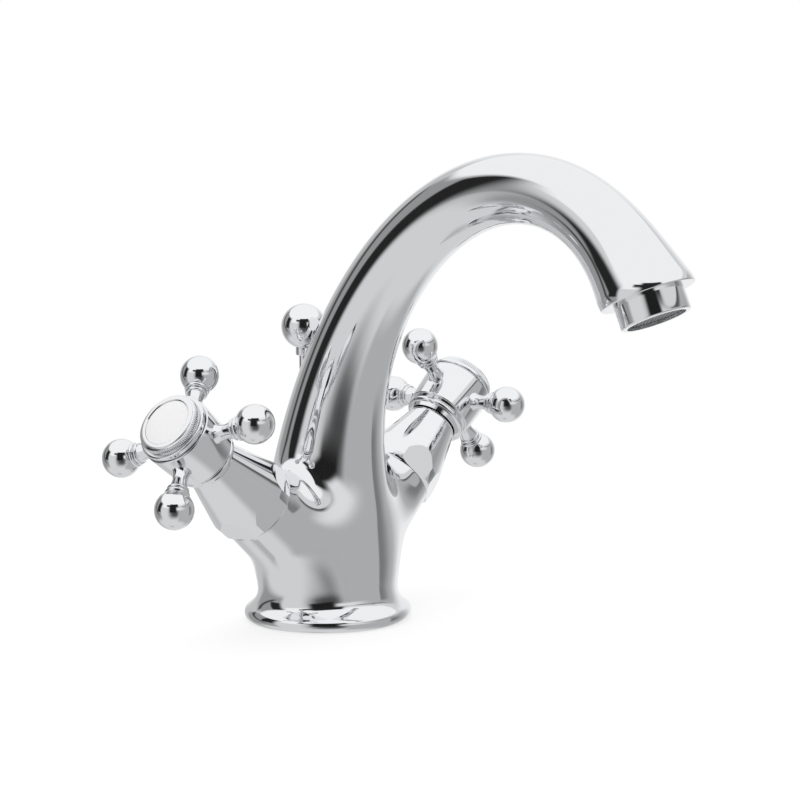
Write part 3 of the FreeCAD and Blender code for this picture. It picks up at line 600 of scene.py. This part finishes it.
def bonnet_sheets(turn):
    """The bonnet's skin in six sectors, each a land, a flat and a land.

    A row at radius r has its land points on the circle out to the angle whose cosine is the
    flat's distance over r, and its flat points on the straight line between; where r is less
    than that distance the flat has no width.
    """
    shoulder = BONNET_FOOT + BONNET_BAND
    heights = np.concatenate([
        np.linspace(BONNET_FOOT, BONNET_FOOT + BONNET_EDGE, EDGE_ROWS),
        np.linspace(shoulder - BONNET_CREASE, shoulder + BONNET_CREASE, 2),
        np.linspace(shoulder, BONNET_SHOULDER, CONE_ROWS)[1:],
    ])[:, None]
    foot = FLAT_OUT + (BONNET_RADIUS - FLAT_OUT) * np.sin(
        math.pi / 2 * np.clip((heights - BONNET_FOOT) / BONNET_EDGE, 0, 1))
    fall = (BONNET_RADIUS - BONNET_TOP_RADIUS) / (BONNET_SHOULDER - shoulder)
    radius = np.where(heights > shoulder, BONNET_RADIUS - fall * (heights - shoulder), foot)
    edge = np.arccos(np.clip(FLAT_OUT / radius, 0, 1))
    half_sector = math.pi / FLATS
    share = np.linspace(0, 1, LAND_POINTS)
    low_land = -half_sector + (half_sector - edge) * share
    high_land = low_land[:, ::-1]
    straight = np.linspace(-1, 1, FLAT_POINTS) * np.tan(edge)
    flat_out = np.where(edge > 0, FLAT_OUT, radius) + 0 * straight
    x = np.concatenate([radius * np.cos(low_land), flat_out, radius * np.cos(high_land)], 1)
    y = np.concatenate([radius * np.sin(low_land), FLAT_OUT * straight, -radius * np.sin(high_land)], 1)
    sheets = []
    for sector in range(FLATS):
        spin = math.radians(turn + 360 / FLATS * sector)
        turned_x = x * math.cos(spin) - y * math.sin(spin)
        turned_y = x * math.sin(spin) + y * math.cos(spin)
        sheets.append(np.stack([turned_x, turned_y, heights + 0 * x], -1))
    return sheets


for name, side, _, flat_turn in SIDES:
    collar = on_valve(ringed([
        (BONNET_TOP_RADIUS, BONNET_SHOULDER), (COLLAR_RADIUS, BONNET_SHOULDER), (COLLAR_RADIUS, COLLAR_TOP),
        (0, COLLAR_TOP),
    ], FULL_TURN), side)
    foot = on_valve(ringed([(FLAT_OUT, BONNET_FOOT), (0, BONNET_FOOT)], FULL_TURN), side)
    shell = [on_valve(sheet, side) for sheet in bonnet_sheets(flat_turn)]
    bonnet = surface(name + "_bonnet_skin", shell + [collar, foot], sharp=BONNET_SHARP)
    fit(bonnet, "tap_body", "chrome_turned", turned_chrome, name + "_bonnet")

# Handle hubs. A turned and plated brass drum sits over each bonnet's collar: a bore for the
# spindle, a counterbore round the collar, a skirt with a bead, a groove, the slightly tapered
# drum, and a well in its top for the cap's spigot.
HUB_FOOT, HUB_TOP = 72.3, 91.4
HUB_BORE, HUB_WEB_FOOT, COUNTERBORE_RADIUS, COUNTERBORE_TOP = 4.6, 84.5, 8.0, 74.5
SKIRT_FOOT_RADIUS, SKIRT_RADIUS, SKIRT_TOP = 9.4, 9.9, 73.7
SKIRT_BEAD_RADIUS, SKIRT_BEAD_AT, SKIRT_BEAD_ROUND = 9.95, 74.8, 1.06
HUB_GROOVE_RADIUS, HUB_GROOVE_FOOT, HUB_GROOVE_TOP = 10.3, 75.95, 76.6
DRUM_FOOT_RADIUS, DRUM_FOOT, DRUM_TOP_RADIUS, DRUM_TOP, DRUM_ROUND = 11.05, 77.1, 11.7, 90.9, 0.5
WELL_RADIUS, WELL_FLOOR = 8.8, 87.5
hub_outline = (
    [(0, HUB_WEB_FOOT), (HUB_BORE, HUB_WEB_FOOT), (HUB_BORE, COUNTERBORE_TOP)]
    + [(COUNTERBORE_RADIUS, COUNTERBORE_TOP), (COUNTERBORE_RADIUS, HUB_FOOT)]
    + [(SKIRT_FOOT_RADIUS, HUB_FOOT), (SKIRT_RADIUS, SKIRT_TOP)]
    + arc((SKIRT_BEAD_RADIUS, SKIRT_BEAD_AT), SKIRT_BEAD_ROUND, -80, 80, steps=11)
    + [(HUB_GROOVE_RADIUS, HUB_GROOVE_FOOT), (HUB_GROOVE_RADIUS, HUB_GROOVE_TOP)]
    + [(DRUM_FOOT_RADIUS, HUB_GROOVE_TOP)]
    + arc((DRUM_FOOT_RADIUS, DRUM_FOOT), DRUM_ROUND, -80, 0, steps=5)
    + arc((DRUM_TOP_RADIUS, DRUM_TOP), DRUM_ROUND, 0, 90, steps=6)
    + [(WELL_RADIUS, HUB_TOP), (WELL_RADIUS, WELL_FLOOR), (0, WELL_FLOOR)]
)
for name, side, handle_turn, _ in SIDES:
    hub = surface(name + "_hub_skin", [on_valve(ringed(hub_outline, FULL_TURN), side, handle_turn)])
    fit(hub, name + "_handle", "chrome_turned", turned_chrome, name + "_handle_hub")

# Cross arms. Four turned and plated brass spokes are set into each hub: a hollow sweep down to
# the waist, a bead between two grooves, a collar and the ball. Places along them are distances
# out from the hub's axis.
SPOKES, CROSS_AT, SPOKE_CELLS, SWEEP_POINTS = 4, 84.8, 96, 14
SPOKE_FOOT, SPOKE_FOOT_RADIUS = 9.9, 4.4
SWEEP_FROM, SWEEP_LENGTH, SWEEP_DEPTH = 10.6, 5.0, 2.0
GROOVE_RADIUS, FIRST_GROOVE, SECOND_GROOVE, GROOVE_END = 3.0, 18.05, 19.25, 19.55
BEAD_AT, BEAD_ROUND = 18.65, 0.63
SPOKE_COLLAR_RADIUS, SPOKE_COLLAR_AT, SPOKE_COLLAR_ROUND = 3.35, 20.2, 0.72
BALL_RADIUS, BALL_AT, BALL_FROM = 6.4, 26.04, -54.1
arm_outline = (
    [(0, SPOKE_FOOT), (SPOKE_FOOT_RADIUS, SPOKE_FOOT)]
    + [
        (SPOKE_FOOT_RADIUS - SWEEP_DEPTH * math.sin(a), SWEEP_FROM + SWEEP_LENGTH * (1 - math.cos(a)))
        for a in np.linspace(0.0, math.pi / 2, SWEEP_POINTS)
    ]
    + [(GROOVE_RADIUS, FIRST_GROOVE)] + arc((GROOVE_RADIUS, BEAD_AT), BEAD_ROUND, -80, 80, steps=9)
    + [(GROOVE_RADIUS, SECOND_GROOVE), (GROOVE_RADIUS, GROOVE_END)]
    + arc((SPOKE_COLLAR_RADIUS, SPOKE_COLLAR_AT), SPOKE_COLLAR_ROUND, -80, 70, steps=9)
    + arc((0, BALL_AT), BALL_RADIUS, BALL_FROM, 90, steps=48)
)


def laid_arm(sheet, step):
    """A sheet turned about Z, laid along a spoke of the cross."""
    spin = 2 * math.pi / SPOKES * step
    out, lift, aside = sheet[..., 2], sheet[..., 0], sheet[..., 1]
    return np.stack([
        out * math.cos(spin) - aside * math.sin(spin),
        out * math.sin(spin) + aside * math.cos(spin), CROSS_AT + lift,
    ], -1)


spoke = ringed(arm_outline, np.linspace(-math.pi, math.pi, SPOKE_CELLS + 1))
for name, side, handle_turn, _ in SIDES:
    spokes = [on_valve(laid_arm(spoke, step), side, handle_turn) for step in range(SPOKES)]
    cross = surface(name + "_cross_arms", spokes)
    fit(cross, name + "_handle", "chrome_turned", turned_chrome, name + "_handle_arms")

# Cap rings. A turned and plated brass cap is pressed into each hub by a hollow spigot; it shows a
# smooth round ring, a knurled one of fine reeds, and a narrow bezel round the disc's recess.
REED_COUNT, REED_RADIUS, REED_DEPTH, REED_ROUNDING, CELLS_PER_REED = 104, 10.7, 0.3, 0.8, 8
REED_LOW, REED_HIGH, REED_RUN_OUT = 94.2, 95.8, 0.15
SPIGOT_BORE, SPIGOT_RADIUS, SPIGOT_FOOT, SPIGOT_TOP = 7.25, 8.75, 88.8, 92.0
CAP_SEAT_RADIUS, CAP_RING_RADIUS, CAP_RING_ROUND, CAP_RING_LOW, CAP_RING_HIGH = 10.8, 11.4, 0.5, 92.5, 93.2
CAP_RING_TOP, REED_SEAT_RADIUS, REED_SEAT_FOOT, REED_SEAT_TOP = 93.7, 10.4, 94.0, 96.0
BEZEL_RADIUS, BEZEL_FOOT, BEZEL_ROUND, BEZEL_ROUND_AT = 9.9, 96.1, 0.25, (9.65, 96.35)
CAP_TOP, RECESS_EDGE_RADIUS, RECESS_RADIUS, RECESS_EDGE, RECESS_FLOOR = 96.6, 8.45, 8.2, 96.35, 94.7
cap_outline = (
    [(0, SPIGOT_TOP), (SPIGOT_BORE, SPIGOT_TOP), (SPIGOT_BORE, SPIGOT_FOOT), (SPIGOT_RADIUS, SPIGOT_FOOT)]
    + [(SPIGOT_RADIUS, HUB_TOP), (CAP_SEAT_RADIUS, HUB_TOP), (CAP_SEAT_RADIUS, SPIGOT_TOP)]
    + arc((CAP_RING_RADIUS, CAP_RING_LOW), CAP_RING_ROUND, -90, 0, steps=5)
    + arc((CAP_RING_RADIUS, CAP_RING_HIGH), CAP_RING_ROUND, 0, 90, steps=5)
    + [(BEZEL_RADIUS, CAP_RING_TOP), (REED_SEAT_RADIUS, REED_SEAT_FOOT), (REED_SEAT_RADIUS, REED_LOW)]
)
cap_front = (
    [(REED_SEAT_RADIUS, REED_HIGH), (REED_SEAT_RADIUS, REED_SEAT_TOP), (BEZEL_RADIUS, BEZEL_FOOT)]
    + arc(BEZEL_ROUND_AT, BEZEL_ROUND, 0, 90, steps=4)
    + [(RECESS_EDGE_RADIUS, CAP_TOP), (RECESS_RADIUS, RECESS_EDGE), (RECESS_RADIUS, RECESS_FLOOR)]
    + [(0, RECESS_FLOOR)]
)


def reeded_ring(angles):
    """A sheet of a ring whose radius falls by the reeds' depth in a rounded wave all round: the
    bare sine of half the reeds' count, to a power just under one."""
    wave = np.abs(np.sin(REED_COUNT * angles / 2)) ** REED_ROUNDING
    heights = np.array([REED_LOW, REED_LOW + REED_RUN_OUT, REED_HIGH - REED_RUN_OUT, REED_HIGH])[:, None]
    radius = REED_RADIUS - REED_DEPTH + REED_DEPTH * wave * np.array([0.0, 1.0, 1.0, 0.0])[:, None]
    return np.stack([radius * np.cos(angles), radius * np.sin(angles), heights + 0 * angles], -1)


reed_angles = np.linspace(-math.pi, math.pi, REED_COUNT * CELLS_PER_REED + 1)
cap_sheets = [ringed(cap_outline, reed_angles), reeded_ring(reed_angles), ringed(cap_front, reed_angles)]
for name, side, handle_turn, _ in SIDES:
    cap = surface(name + "_reeded_cap", [on_valve(sheet, side, handle_turn) for sheet in cap_sheets])
    fit(cap, name + "_handle", "chrome_turned", turned_chrome, name + "_cap_ring")

# Index discs. A white disc lies in each cap's recess, flat at the back and crowned in front as a
# shallow part of a ball. It is moulded acetal, polished until very glossy, with a faint
# unevenness left from the melt.
DISC_RADIUS, DISC_EDGE, DISC_EDGE_RUN, DISC_RISE, CROWN_POINTS = 8.15, 96.2, 0.1, 0.3, 12
crown = (DISC_RADIUS ** 2 + DISC_RISE ** 2) / (2 * DISC_RISE)
disc_outline = [(0, RECESS_FLOOR), (DISC_RADIUS, RECESS_FLOOR), (DISC_RADIUS, DISC_EDGE)] + [
    (r, CAP_TOP - crown + math.sqrt(crown ** 2 - r ** 2))
    for r in np.linspace(DISC_RADIUS - DISC_EDGE_RUN, 0, CROWN_POINTS)
]
white = grained("polished_white_acetal", "F7F7F7", "F3F3F3",
                grain_mm=3.0, depth_mm=0.0005, smooth=0.1, rough=0.2,
                **{"Coat Weight": 0.6, "Coat Roughness": 0.03, "IOR": 1.48})
for name, side, handle_turn, _ in SIDES:
    disc = surface(name + "_white_disc", [on_valve(ringed(disc_outline, FULL_TURN), side, handle_turn)])
    fit(disc, name + "_handle", "white_acetal", white, name + "_index_disc")

# Headworks, hidden in the arms and hubs. A quarter-turn cartridge is screwed into each arm: a
# brass body with its spindle, two valve discs, rubber seals and a sealing washer, and the screw
# that holds the handle on the spindle.

# Body and spindle: lathe-turned free-cutting brass, left unplated and slightly dulled.
brass = grained("turned_brass", "C9A660", "B08D48",
                grain_mm=0.8, depth_mm=0.004, smooth=0.24, rough=0.4, Metallic=1.0)
# Valve discs: lapped alumina, cream white and close grained.
ceramic = grained("lapped_alumina", "F0EBDF", "E4DDCE",
                  grain_mm=0.3, depth_mm=0.0005, smooth=0.15, rough=0.28)
# Sealing washer: red vulcanised fibre, pressed sheet with a short fibrous mottle.
fibre = grained("red_vulcanised_fibre", "8E3B2C", "6E2B20",
                grain_mm=0.4, depth_mm=0.01, smooth=0.6, rough=0.8)
# Handle screw: cold-headed stainless steel, grey with a satin bloom.
steel = grained("headed_stainless_steel", "BDBEC0", "A3A5A8",
                grain_mm=0.7, depth_mm=0.002, smooth=0.25, rough=0.42, Metallic=1.0)
for name, _, _, _ in SIDES:
    clad(brass, name + "_headwork_body", name + "_spindle")
    clad(ceramic, name + "_fixed_disc", name + "_moving_disc")
    clad(rubber, name + "_seat_seal", name + "_spindle_oring")
    clad(fibre, name + "_headwork_washer")
    clad(steel, name + "_handle_screw")

# Studio. A white sweep and a soft white surround. What a mirror shows is painted by bearing
# about the tap and by height: white overhead, grey walls, the dark side from which it is seen.
CAMERA_PLACE = (-0.63540, -0.56721, 0.18351)
CAMERA_RIGHT, CAMERA_UP = (0.6429, -0.7659, -0.0075), (0.1023, 0.0762, 0.9918)
CAMERA_BACK = (-0.7591, -0.6384, 0.1273)
FOCAL_PIXELS, FRAME_PIXELS, SENSOR = 2538.6, 800.0, 36.0
TOWARD_CAMERA, BESIDE_CAMERA = (-0.7460, -0.6659, 0.0), (0.6659, -0.7460, 0.0)
FLOOR_RADIUS, FLOOR_LEVEL, FLOOR_SIDES, FLOOR_GLOW = 0.45, -0.0002, 96, 0.645
PLAIN_LIGHT = 0.88
SOFTBOX_SIZE, SOFTBOX_WATTS, SOFTBOX_PLACE = 0.9, 2.4, (-0.1, 0.0, 1.1)

lens = bpy.data.cameras.new("view")
lens.sensor_width = SENSOR
lens.lens = SENSOR * FOCAL_PIXELS / FRAME_PIXELS
lens.clip_start, lens.clip_end = 0.01, 50.0
camera = bpy.data.objects.new("view", lens)
aim = Matrix((CAMERA_RIGHT, CAMERA_UP, CAMERA_BACK)).transposed().to_4x4()
camera.matrix_world = Matrix.Translation(CAMERA_PLACE) @ aim
bpy.context.scene.collection.objects.link(camera)
bpy.context.scene.camera = camera


def bearing_of(tree, vector):
    """The bearing of a direction about the tap: 0 toward the camera, growing to its right."""
    toward, beside = (
        add(tree, "VectorMath", {0: vector, 1: axis}, operation="DOT_PRODUCT").outputs["Value"]
        for axis in (TOWARD_CAMERA, BESIDE_CAMERA)
    )
    return add(tree, "Math", {0: beside, 1: toward}, operation="ARCTAN2").outputs[0]


def window(tree, value, low, low_soft, high, high_soft):
    """1 where a value lies between two others and 0 outside, each edge with its own softness."""
    edges = []
    for start, end, at, soft in ((0.0, 1.0, low, low_soft), (1.0, 0.0, high, high_soft)):
        edges.append(add(tree, "MapRange", {
            "Value": value, "From Min": at - soft, "From Max": at + soft, "To Min": start, "To Max": end,
        }, interpolation_type="SMOOTHSTEP").outputs["Result"])
    return add(tree, "Math", {0: edges[0], 1: edges[1]}, operation="MULTIPLY").outputs[0]


floor_mesh = bpy.data.meshes.new("studio_floor")
floor_rim = [
    (FLOOR_RADIUS * math.cos(a), FLOOR_RADIUS * math.sin(a), FLOOR_LEVEL)
    for a in np.linspace(0, 2 * math.pi, FLOOR_SIDES, endpoint=False)
]
floor_mesh.from_pydata(floor_rim, [], [list(range(FLOOR_SIDES))])
floor = bpy.data.objects.new("studio_floor", floor_mesh)
bpy.context.scene.collection.objects.link(floor)
# Matt white paper, lifted to white for the camera alone, so that the tap's shadow still shows.
paper, tree, shader = finish_of("white_sweep_paper", {"Base Color": linear("AAAAAA"), "Roughness": 0.9})
rays = add(tree, "LightPath")
glow = add(tree, "Math", {0: rays.outputs["Is Camera Ray"], 1: FLOOR_GLOW}, operation="MULTIPLY")
light = add(tree, "Emission", {"Color": (1, 1, 1, 1), "Strength": glow.outputs[0]})
both = add(tree, "AddShader", {0: shader.outputs[0], 1: light.outputs[0]})
tree.links.new(both.outputs[0], tree.nodes["Material Output"].inputs["Surface"])
floor_mesh.materials.append(paper)
# Mirrors look past the sweep, into the lower part of the painted surround.
floor.visible_glossy = False

world = bpy.data.worlds.new("studio")
bpy.context.scene.world = world
world.use_nodes = True
tree = world.node_tree
direction = add(tree, "TexCoord").outputs["Generated"]
height = add(tree, "SeparateXYZ", {0: direction}).outputs["Z"]
radians = add(tree, "Math", {0: height}, operation="ARCSINE").outputs[0]
climb = add(tree, "Math", {0: radians}, operation="DEGREES").outputs[0]
bearing = add(tree, "Math", {0: bearing_of(tree, direction)}, operation="DEGREES").outputs[0]
# The surround is white, and these strokes are laid over it in turn. Each has the bearings it runs
# from and to and the climbs it runs from and to, in degrees and each with its softness, the
# bearing's drift per degree of climb, and its shade.
STROKES = (
    # Pale walls and floor all round, under a white ceiling, and a greyer patch of floor.
    ((-190, 5, 190, 5), (-95, 5, 33, 1.5), 0.0, 0.72),
    ((-160, 30, -95, 30), (-95, 3, -73, 7), 0.0, 0.50),
    # A white panel high on the left, and whiter walls behind the tap.
    ((-72, 5, -26, 8), (19, 2, 35, 1), 0.0, 1.0),
    ((146, 7, 195, 5), (-40, 10, 33, 3), 0.0, 0.92),
    ((-195, 5, -164, 6), (-30, 10, 33, 3), 0.0, 0.86),
    # The grey wall on the right with a darker strip in it.
    ((30, 9, 134, 9), (-56, 10, 24, 1), 0.0, 0.47),
    ((95, 2, 114, 14), (-20, 8, 12, 8), 0.0, 0.22),
    # The left wall, darker toward the front, with a slanting black strip and a black panel.
    ((-165, 8, -128, 8), (-50, 10, 30, 5), 0.0, 0.58),
    ((-142, 7, -78, 7), (-34, 10, 34, 3), 0.0, 0.33),
    ((-119, 4, -110, 4), (-18, 5, 27, 3), -1.0, 0.05),
    ((-104, 3, -80, 5), (-6, 3, 31, 1), 0.0, 0.02),
    # The dark side from which the tap is seen, and the pale card and thin dark rail to its right.
    ((-25, 17, 26, 15), (-34, 20, 38, 4), 0.0, 0.14),
    ((-8, 10, 21, 12), (-24, 14, 6, 8), 0.0, 0.075),
    ((17, 6, 60, 18), (7, 6, 22, 3), 0.0, 0.82),
    ((48, 6, 110, 10), (21, 2, 24, 0.5), 0.0, 0.10),
    # The black upper edge of the dark side, in two lengths, and its black heart.
    ((-45, 5, -18, 6), (26, 4, 35.5, 0.8), 0.0, 0.03),
    ((-24, 6, 28, 4), (26, 4, 42, 1), 0.0, 0.02),
    ((-24, 6, 13, 4), (-5, 6, 30, 3), 0.0, 0.015),
)
level = 1.0
for sweep, rise, drift, shade in STROKES:
    moved = add(tree, "Math", {0: climb, 1: -drift, 2: bearing}, operation="MULTIPLY_ADD").outputs[0]
    mask = add(tree, "Math", {0: window(tree, moved, *sweep), 1: window(tree, climb, *rise)},
               operation="MULTIPLY").outputs[0]
    level = add(tree, "Mix", {0: mask, 2: level, 3: shade}).outputs[0]
rays = add(tree, "LightPath")
mirrored_view = add(tree, "Background", {"Color": (1, 1, 1, 1), "Strength": level})
plain = add(tree, "Background", {"Color": (1, 1, 1, 1), "Strength": PLAIN_LIGHT})
white_view = add(tree, "Background", {"Color": (1, 1, 1, 1), "Strength": 1.0})
glossy = add(tree, "MixShader", {
    0: rays.outputs["Is Glossy Ray"], 1: plain.outputs[0], 2: mirrored_view.outputs[0]})
clear = add(tree, "MixShader", {
    0: rays.outputs["Is Transmission Ray"], 1: glossy.outputs[0], 2: white_view.outputs[0]})
seen = add(tree, "MixShader", {
    0: rays.outputs["Is Camera Ray"], 1: clear.outputs[0], 2: white_view.outputs[0]})
tree.links.new(seen.outputs[0], tree.nodes["World Output"].inputs["Surface"])

lamp = bpy.data.lights.new("overhead_softbox", "AREA")
lamp.shape, lamp.size, lamp.size_y = "RECTANGLE", SOFTBOX_SIZE, SOFTBOX_SIZE
lamp.energy = SOFTBOX_WATTS
softbox = bpy.data.objects.new("overhead_softbox", lamp)
softbox.matrix_world = Matrix.Translation(SOFTBOX_PLACE)
softbox.visible_glossy = False
bpy.context.scene.collection.objects.link(softbox)

bpy.context.scene.view_settings.view_transform = "Standard"
